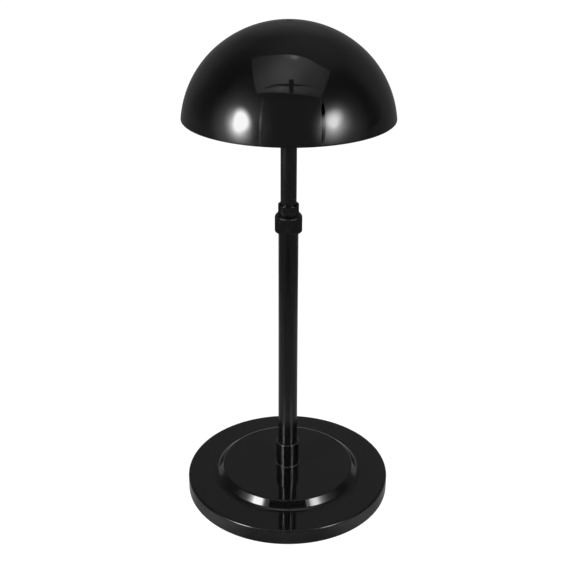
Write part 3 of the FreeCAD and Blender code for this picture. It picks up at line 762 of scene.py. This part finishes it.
class Glow:
    """An emission material built on the thing's own Object coordinates."""

    def __init__(self, name):
        self.material = bpy.data.materials.new(name)
        self.material.use_nodes = True
        self.nodes = self.material.node_tree.nodes
        self.links = self.material.node_tree.links
        self.nodes.clear()
        self.place = self.nodes.new("ShaderNodeTexCoord").outputs["Object"]

    def patch(self, centre, reach, inner, strength, lean=0.0, fade=0.0):
        """An oval patch of light: even as far as inner, then falling to nothing at its reach."""
        moved = self.nodes.new("ShaderNodeMapping")
        moved.vector_type = "TEXTURE"
        moved.inputs["Location"].default_value = (*centre, 0.0)[:3]
        moved.inputs["Rotation"].default_value = (0.0, 0.0, math.radians(lean))
        moved.inputs["Scale"].default_value = (*reach, FAR)[:3]
        self.links.new(self.place, moved.inputs["Vector"])
        length = self.nodes.new("ShaderNodeVectorMath")
        length.operation = "LENGTH"
        self.links.new(moved.outputs["Vector"], length.inputs[0])
        fall = self.nodes.new("ShaderNodeMapRange")
        fall.interpolation_type = "LINEAR" if fade else "SMOOTHERSTEP"
        fall.inputs["From Min"].default_value = inner
        fall.inputs["From Max"].default_value = 1.0
        fall.inputs["To Min"].default_value = 1.0
        fall.inputs["To Max"].default_value = 0.0
        self.links.new(length.outputs["Value"], fall.inputs["Value"])
        level = fall.outputs["Result"]
        if fade:
            level = self.work("POWER", level, fade)
        return self.work("MULTIPLY", level, strength)

    def work(self, operation, level, amount):
        node = self.nodes.new("ShaderNodeMath")
        node.operation = operation
        self.links.new(level, node.inputs[0])
        node.inputs[1].default_value = amount
        return node.outputs["Value"]

    def total(self, values):
        first = values[0]
        for value in values[1:]:
            plus = self.nodes.new("ShaderNodeMath")
            plus.operation = "ADD"
            self.links.new(first, plus.inputs[0])
            self.links.new(value, plus.inputs[1])
            first = plus.outputs["Value"]
        return first

    def shine(self, strength):
        emission = self.nodes.new("ShaderNodeEmission")
        if isinstance(strength, float):
            emission.inputs["Strength"].default_value = strength
        else:
            self.links.new(strength, emission.inputs["Strength"])
        return emission.outputs["Emission"]

    def hand_over(self, surface):
        output = self.nodes.new("ShaderNodeOutputMaterial")
        self.links.new(surface, output.inputs["Surface"])
        return self.material

    def card(self, strength):
        """Light from an opaque card."""
        return self.hand_over(self.shine(strength))

    def from_front(self, surface, clear):
        """The surface where it faces the ray, and nothing at all from its back."""
        facing = self.nodes.new("ShaderNodeNewGeometry")
        mix = self.nodes.new("ShaderNodeMixShader")
        self.links.new(facing.outputs["Backfacing"], mix.inputs["Fac"])
        self.links.new(surface, mix.inputs[1])
        self.links.new(clear.outputs["BSDF"], mix.inputs[2])
        return self.hand_over(mix.outputs["Shader"])

    def haze(self, strength):
        """Light from the front only, added to whatever is behind it."""
        clear = self.nodes.new("ShaderNodeBsdfTransparent")
        both = self.nodes.new("ShaderNodeAddShader")
        self.links.new(self.shine(strength), both.inputs[0])
        self.links.new(clear.outputs["BSDF"], both.inputs[1])
        return self.from_front(both.outputs["Shader"], clear)

    def veil(self, strength):
        """A card that is only there from its front."""
        return self.from_front(self.shine(strength), self.nodes.new("ShaderNodeBsdfTransparent"))


SOFTBOX_HALF_SIDE = 0.7
HEAD_MIDDLE = (0.0, 0.0, 0.33)


def make_softbox(name, place, peak, *ovals):
    """A soft lamp turned to the head: a bright oval middle in wide skirts of weaker light."""
    glow = Glow(name)
    light = glow.work("MINIMUM", glow.total([glow.patch(*oval) for oval in ovals]), peak)
    bm = bmesh.new()
    bmesh.ops.create_grid(bm, x_segments=1, y_segments=1, size=SOFTBOX_HALF_SIDE)
    lamp = stage_mesh(bm, name, glow.haze(light), glossy_only=False)
    lamp.location = place
    way = Vector(HEAD_MIDDLE) - Vector(place)
    lamp.rotation_euler = way.to_track_quat("Z", "Y").to_euler()


def flat_card(name, corners, material, glossy_only=True):
    bm = bmesh.new()
    card = [bm.verts.new(corner) for corner in corners]
    bmesh.ops.contextual_create(bm, geom=card)
    return stage_mesh(bm, name, material, glossy_only)


def lying(height, *outline):
    """Corners of a level card, from its outline across and along."""
    return [(across, along, height) for across, along in outline]


def upright(along, *outline):
    """Corners of an upright card that faces the stand, from its outline across and up."""
    return [(across, along, height) for across, height in outline]


# the overhead panel's tone: centre, reach, inner share, level, lean
PANEL_PATCHES = [
    ((0.0, -0.5), (4.0, 4.0), 0.9, 0.327),
    ((0.032, -0.126), (0.71, 1.22), 0.0, 0.425, -15.8),
    ((-0.301, -0.818), (1.42, 1.25), 0.0, 0.414, 4.6),
    ((-0.25, -1.031), (0.27, 0.14), 0.0, 0.236, 27.0),
    ((-0.895, -0.032), (1.65, 0.37), 0.0, -0.072, 66.5),
    ((0.006, 0.404), (0.29, 0.58), 0.0, 0.85, 19.2),
    ((0.115, 0.125), (0.11, 0.13), 0.2, 0.75),
    ((0.081, -0.943), (0.93, 0.21), 0.76, 0.111, -4.5),
    ((0.491, 0.127), (0.48, 1.84), 0.0, 0.166, 23.3),
]
PANEL_Z = 1.9
BOOM_Z = 1.88
BAR_Z = 1.885


def make_overhead():
    """Soft panel above and in front, with its frame bar and boom seen against it."""
    glow = Glow("overhead_panel")
    light = glow.total([glow.patch(*patch) for patch in PANEL_PATCHES])
    flat_card("overhead_panel", lying(
        PANEL_Z, (-0.815, 0.393), (-0.276, 0.223), (-0.03, 0.20), (0.345, 0.152), (0.725, 0.015),
        (1.038, 0.010), (1.152, -1.248), (0.475, -1.255), (-0.05, -1.21), (-1.082, -1.028),
    ), glow.card(light), glossy_only=False)
    dark = Glow("dark_bar").card(0.12)
    flat_card("boom_arm", lying(
        BOOM_Z, (0.0, -0.645), (0.12, -0.64), (0.15, -1.18), (0.01, -1.19)), dark)
    dim = Glow("frame_bar").card(0.14)
    flat_card("frame_bar", lying(
        BAR_Z, (-0.76, -0.86), (-0.60, -0.805), (-0.495, -0.795), (-0.25, -0.85), (-0.02, -0.885),
        (0.30, -0.865), (0.66, -0.81), (0.66, -0.835), (0.30, -0.89), (-0.02, -0.915),
        (-0.25, -0.88), (-0.495, -0.83), (-0.60, -0.845), (-0.76, -0.915)), dim)


WALL_Y = -2.2
STANDS_Y = -1.5
FLAG_Z = 0.30


def make_wall_and_stands():
    """A paler wall in front, two light stands before it, and a dark flag below the head."""
    wall = Glow("front_wall").card(0.16)
    flat_card("front_wall", upright(WALL_Y, (-1.08, 0.0), (1.55, 0.0), (2.2, 2.7), (-1.6, 2.7)), wall)
    pale = Glow("stand_left")
    light = pale.total([
        pale.patch((0.0, 0.0), (FAR, FAR), 0.9, 0.6),
        pale.patch((0.0, 0.0, 1.0), (FAR, FAR, 0.5), 0.0, 0.9)])
    flat_card("stand_left", upright(
        STANDS_Y, (-0.800, 0.0), (-0.782, 0.0), (-0.788, 0.70), (-1.032, 2.1), (-1.050, 2.1),
        (-0.806, 0.70)), pale.card(light))
    soft = Glow("stand_right")
    light = soft.total([
        soft.patch((0.0, 0.0), (FAR, FAR), 0.9, 0.9),
        soft.patch((0.0, 0.0, 0.3), (FAR, FAR, 0.35), 0.5, 0.8)])
    flat_card("stand_right", upright(
        STANDS_Y, (0.93, 0.0), (0.96, 0.0), (1.36, 2.1), (1.33, 2.1)), soft.card(light))
    flag = Glow("flag_below_the_head").card(0.01)
    flat_card("flag_below_the_head", lying(
        FLAG_Z, (-0.134, -0.245), (0.0, -0.275), (0.134, -0.245), (0.205, -0.345), (0.10, -0.41),
        (-0.10, -0.41), (-0.205, -0.345)), flag)


def make_low_card():
    """Low band of card bent round behind the stand, brightest straight behind."""
    radius = 0.5
    half_angle = math.radians(68.0)
    height = 0.07
    low = bmesh.new()
    bmesh.ops.create_circle(low, cap_ends=False, segments=96, radius=radius)
    ahead = [vert for vert in low.verts if vert.co.y < radius * math.cos(half_angle)]
    bmesh.ops.delete(low, geom=ahead, context="VERTS")
    grown = bmesh.ops.extrude_edge_only(low, edges=low.edges[:])["geom"]
    bmesh.ops.translate(low, verts=points_of(grown), vec=(0.0, 0.0, height))
    behind = Glow("low_card_behind")
    light = behind.total([
        behind.patch((0.0, 0.5), (FAR, 0.30), 0.55, 0.42),
        behind.patch((0.0, 0.5), (0.25, 0.25), 0.0, 1.8)])
    stage_mesh(low, "low_card_behind", behind.card(light))


VEIL_MIDDLE = (0.078, -0.063)
VEIL_HALF_WIDTH = 0.024
VEIL_WAY = (0.63, 0.777)
VEIL_LOW_Z = 0.054
VEIL_HIGH_Z = 0.150


def make_veils():
    """A card beside the pole on each side, so that its gloss hands the lamps on more weakly."""
    for side in (-1.0, 1.0):
        glow = Glow("veil_far")
        light = glow.patch((side * VEIL_MIDDLE[0], VEIL_MIDDLE[1]), (0.015, 0.015), 0.0, 5.5)
        ends = [(
            side * (VEIL_MIDDLE[0] + step * VEIL_WAY[0] * VEIL_HALF_WIDTH),
            VEIL_MIDDLE[1] + step * VEIL_WAY[1] * VEIL_HALF_WIDTH) for step in (1.0, -1.0)]
        veil = flat_card("veil_far", [
            (*ends[0], VEIL_LOW_Z), (*ends[1], VEIL_LOW_Z),
            (*ends[1], VEIL_HIGH_Z), (*ends[0], VEIL_HIGH_Z)], glow.veil(light))
        if side > 0.0:
            veil.data.flip_normals()


# the table's tone in reflections: centre, reach, inner share, level
TABLE_PATCHES = [
    ((0.0, 0.0), (400.0, 400.0), 0.9, 0.14),
    ((0.0, -0.50), (0.40, 0.16), 0.3, -0.12),
    ((0.0, -0.20), (0.20, 0.18), 0.3, 0.07),
    ((-0.22, 0.0), (0.26, 0.30), 0.3, 0.15),
    ((0.22, 0.0), (0.26, 0.30), 0.3, 0.14),
    ((0.0, -0.115), (0.07, 0.035), 0.2, 0.10),
    ((-0.080, -0.092), (0.055, 0.060), 0.2, 0.38),
    ((0.080, -0.092), (0.055, 0.060), 0.2, 0.34),
    ((0.0, 0.34), (0.42, 0.30), 0.3, 0.75),
    ((-0.95, -0.27), (0.36, 0.40), 0.2, 0.28),
]
TABLE_RADIUS = 60.0
TABLE_Z = -0.00005


def make_table_tone():
    """The table as the gloss shows it, a hair above the floor."""
    glow = Glow("table_seen_in_gloss")
    patches = [glow.patch(*patch) for patch in TABLE_PATCHES]
    bm = bmesh.new()
    bmesh.ops.create_circle(bm, cap_ends=True, segments=64, radius=TABLE_RADIUS)
    bmesh.ops.translate(bm, verts=bm.verts, vec=(0.0, 0.0, TABLE_Z))
    stage_mesh(bm, "table_seen_in_gloss", glow.card(glow.total(patches)))


ROOM_LEVEL = 0.149
# azimuth from the camera's side, elevation and reach in degrees, change of level
ROOM_PATCHES = [
    (-92.0, 37.5, 41.0, -0.105),
    (-115.0, 1.0, 22.0, -0.051),
    (-73.0, 45.0, 16.0, 0.078),
    (-58.0, 10.0, 10.0, -0.09),
    (42.0, 14.0, 22.5, 0.16),
    (81.0, 15.5, 25.0, 0.088),
    (84.0, 3.0, 39.0, -0.098),
    (82.0, 33.0, 34.0, -0.076),
    (119.0, 27.5, 20.0, 0.016),
    (-158.0, 47.0, 28.5, -0.029),
    (141.0, 72.0, 32.5, 0.067),
    (180.0, 36.0, 21.0, 0.058),
]
BACKDROP_WHITE = (1.1, 1.1, 1.1, 1.0)


def make_room():
    """Dim room light in soft patches for the reflections, and plain white for the camera."""
    world = bpy.data.worlds.new("room")
    scene.world = world
    world.use_nodes = True
    nodes = world.node_tree.nodes
    links = world.node_tree.links
    coord = nodes.new("ShaderNodeTexCoord")
    level = None
    for azimuth, elevation, reach, change in ROOM_PATCHES:
        turn_to = math.radians(azimuth)
        rise = math.radians(elevation)
        dot = nodes.new("ShaderNodeVectorMath")
        dot.operation = "DOT_PRODUCT"
        links.new(coord.outputs["Generated"], dot.inputs[0])
        dot.inputs[1].default_value = (
            math.sin(turn_to) * math.cos(rise), -math.cos(turn_to) * math.cos(rise), math.sin(rise))
        fall = nodes.new("ShaderNodeMapRange")
        fall.interpolation_type = "SMOOTHSTEP"
        fall.inputs["From Min"].default_value = math.cos(math.radians(reach))
        fall.inputs["From Max"].default_value = 1.0
        fall.inputs["To Min"].default_value = 0.0
        fall.inputs["To Max"].default_value = change
        links.new(dot.outputs["Value"], fall.inputs["Value"])
        plus = nodes.new("ShaderNodeMath")
        plus.operation = "ADD"
        if level is None:
            plus.inputs[0].default_value = ROOM_LEVEL
        else:
            links.new(level, plus.inputs[0])
        links.new(fall.outputs["Result"], plus.inputs[1])
        level = plus.outputs["Value"]
    seen = nodes.new("ShaderNodeLightPath").outputs["Is Camera Ray"]
    mix = nodes.new("ShaderNodeMix")
    mix.data_type = "RGBA"
    links.new(seen, mix.inputs["Factor"])
    links.new(level, mix.inputs["A"])
    mix.inputs["B"].default_value = BACKDROP_WHITE
    links.new(mix.outputs["Result"], nodes["Background"].inputs["Color"])


def make_studio():
    """Lamps, cards and room; each lamp's ovals are centre, reach, inner share, level, lean, fade."""
    make_softbox("softbox_left", (-0.600, -0.48, 0.53), 22.3,
                 ((-0.028, 0.056), (0.155, 0.215), 0.0, 25.4, -49.4),
                 ((0.005, -0.031), (0.332, 0.400), 0.0, 40.4, -39.3, 4.0),
                 ((0.032, -0.061), (0.75, 0.75), 0.0, 3.56, 0.0, 3.0),
                 ((-0.27, -0.06), (0.14, 0.24), 0.2, -0.40))
    make_softbox("softbox_right", (0.555, -0.53, 0.525), 16.4,
                 ((0.003, 0.084), (0.160, 0.243), 0.0, 7.56, 75.2),
                 ((0.000, 0.008), (0.501, 0.417), 0.0, 17.2, -38.5, 4.0),
                 ((-0.184, -0.047), (0.75, 0.75), 0.0, 1.0, 0.0, 3.0),
                 ((0.140, 0.040), (0.042, 0.36), 0.3, -2.6, 13.4))
    make_overhead()
    make_wall_and_stands()
    make_low_card()
    make_veils()
    make_table_tone()
    make_room()


FLOOR_HALF_SIDE = 6.0
FLOOR_Z = -0.0001
FLOOR_WHITE = 1.12
FLOOR_WHITE_SHARE = 0.9


def make_floor():
    """Pale floor, there from above only: white to the camera, with a faint shadow of the stand."""
    bm = bmesh.new()
    bmesh.ops.create_grid(bm, x_segments=8, y_segments=8, size=FLOOR_HALF_SIDE)
    bmesh.ops.translate(bm, verts=bm.verts, vec=(0.0, 0.0, FLOOR_Z))
    material = bpy.data.materials.new("floor")
    material.use_nodes = True
    nodes = material.node_tree.nodes
    links = material.node_tree.links
    nodes.clear()
    paper = nodes.new("ShaderNodeBsdfDiffuse")
    paper.inputs["Color"].default_value = (0.85, 0.85, 0.85, 1.0)
    white = nodes.new("ShaderNodeEmission")
    white.inputs["Strength"].default_value = FLOOR_WHITE
    path = nodes.new("ShaderNodeLightPath")
    seen = path.outputs["Is Camera Ray"]
    for kind in ("Is Glossy Ray", "Is Transmission Ray"):
        either = nodes.new("ShaderNodeMath")
        either.operation = "MAXIMUM"
        links.new(seen, either.inputs[0])
        links.new(path.outputs[kind], either.inputs[1])
        seen = either.outputs["Value"]
    share = nodes.new("ShaderNodeMath")
    share.operation = "MULTIPLY"
    share.inputs[1].default_value = FLOOR_WHITE_SHARE
    links.new(seen, share.inputs[0])
    mix = nodes.new("ShaderNodeMixShader")
    links.new(share.outputs["Value"], mix.inputs["Fac"])
    links.new(paper.outputs["BSDF"], mix.inputs[1])
    links.new(white.outputs["Emission"], mix.inputs[2])
    facing = nodes.new("ShaderNodeNewGeometry")
    clear = nodes.new("ShaderNodeBsdfTransparent")
    above = nodes.new("ShaderNodeMixShader")
    links.new(facing.outputs["Backfacing"], above.inputs["Fac"])
    links.new(mix.outputs["Shader"], above.inputs[1])
    links.new(clear.outputs["BSDF"], above.inputs[2])
    output = nodes.new("ShaderNodeOutputMaterial")
    links.new(above.outputs["Shader"], output.inputs["Surface"])
    floor = stage_mesh(bm, "floor", material, glossy_only=False)
    floor.visible_camera = True
    floor.visible_shadow = True

set_camera()
make_base()
make_plate()
make_pads()
make_bolt()
make_washer()
make_ferrule()
make_tube("outer_tube", "outer_tube_enamelled", "stand", 0.0011)
make_tube("inner_tube", "inner_tube_enamelled", "mast", 0.001)
make_collet()
make_ring()
make_dome()
slots = {row["node"]: row["material_slot"] for row in frame["record"]["subparts"]}
for node, thing in frame["nodes"].items():
    thing.data.materials.clear()
    thing.data.materials.append(FINISHES[slots[node]])
make_studio()
make_floor()
